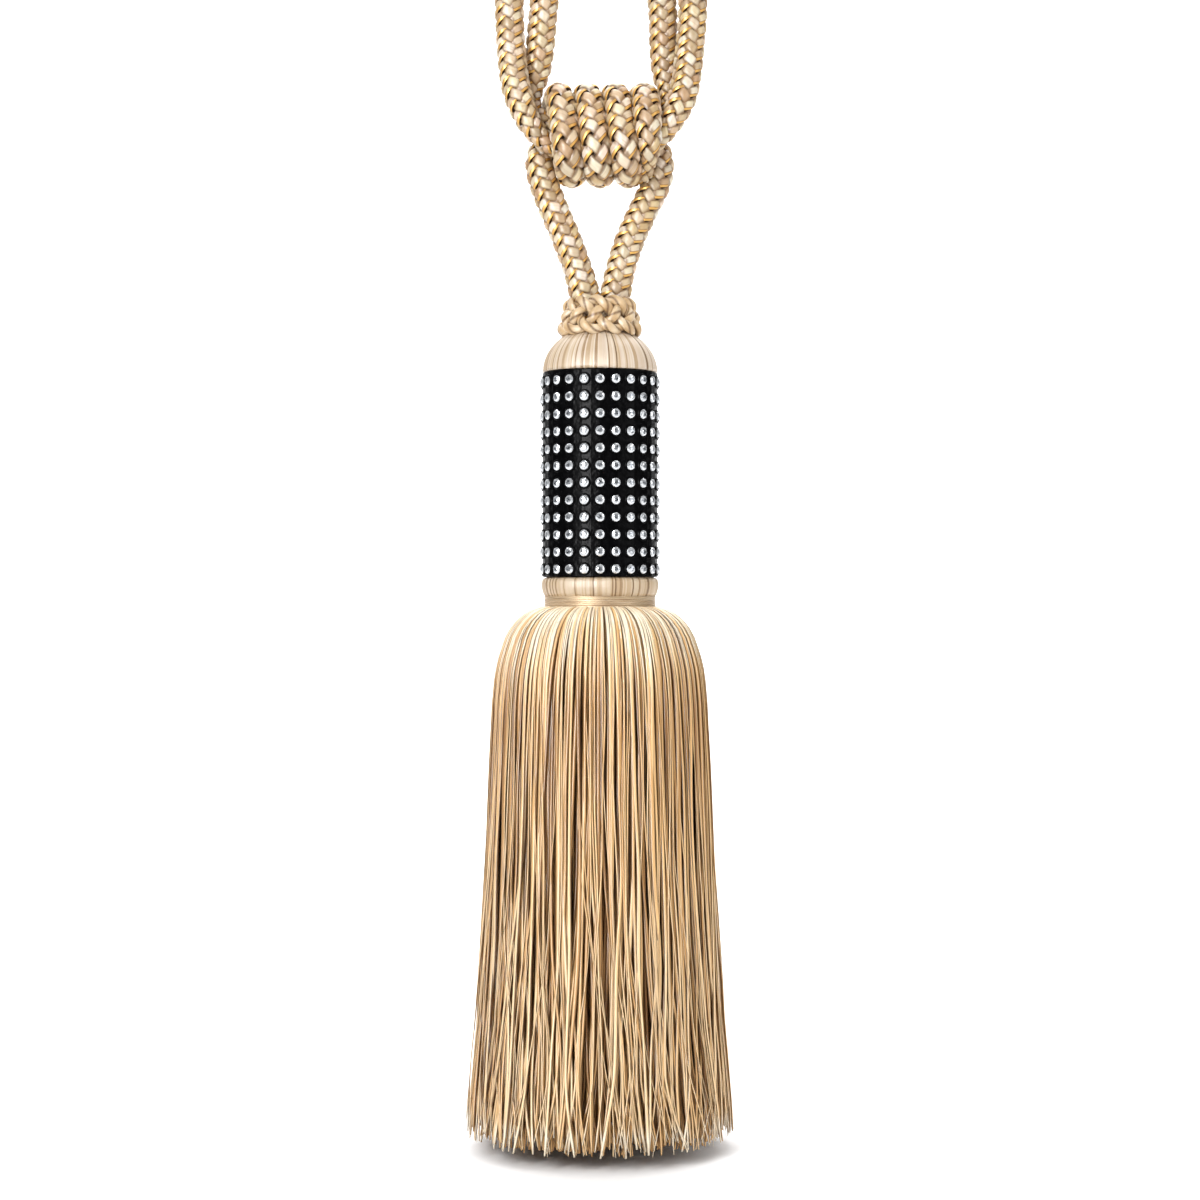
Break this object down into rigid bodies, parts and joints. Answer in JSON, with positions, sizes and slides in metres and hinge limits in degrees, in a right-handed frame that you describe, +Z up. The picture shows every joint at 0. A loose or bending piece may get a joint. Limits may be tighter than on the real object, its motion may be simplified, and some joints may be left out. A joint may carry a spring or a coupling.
{
  "type": "curtain tieback tassel",
  "caption": "Curtain tieback: a braided rope loop with a coiled knot, from which a long yarn tassel hangs under a dark beaded sleeve.",
  "frame": {"origin": "under the inner top of the tieback rope's two loops, where a wall hook carries them", "axes": "+Z up along the hanging tassel, the pictured side faces -Y"},
  "size_m": [0.0891, 0.0892, 0.4782],
  "materials": {
    "rope": "satin braided yarn with metallic gold threads",
    "collar_cord": "twisted satin cord",
    "wrapped_yarn": "smooth satin yarn in fine upright stripes",
    "sleeve_plastic": "glossy black",
    "satin_thread": "satin thread wraps",
    "fringe_yarn": "lustrous loose yarn",
    "stones": "clear faceted stones with a silvered back"
  },
  "bodies": {
    "root": {"tieback_loop": "rope", "hanging_loop": "rope", "knot_coil": "rope", "collar": "collar_cord", "head": "wrapped_yarn", "sleeve": "sleeve_plastic", "binding": "satin_thread", "skirt": "fringe_yarn"}
  },
  "joints": []
}
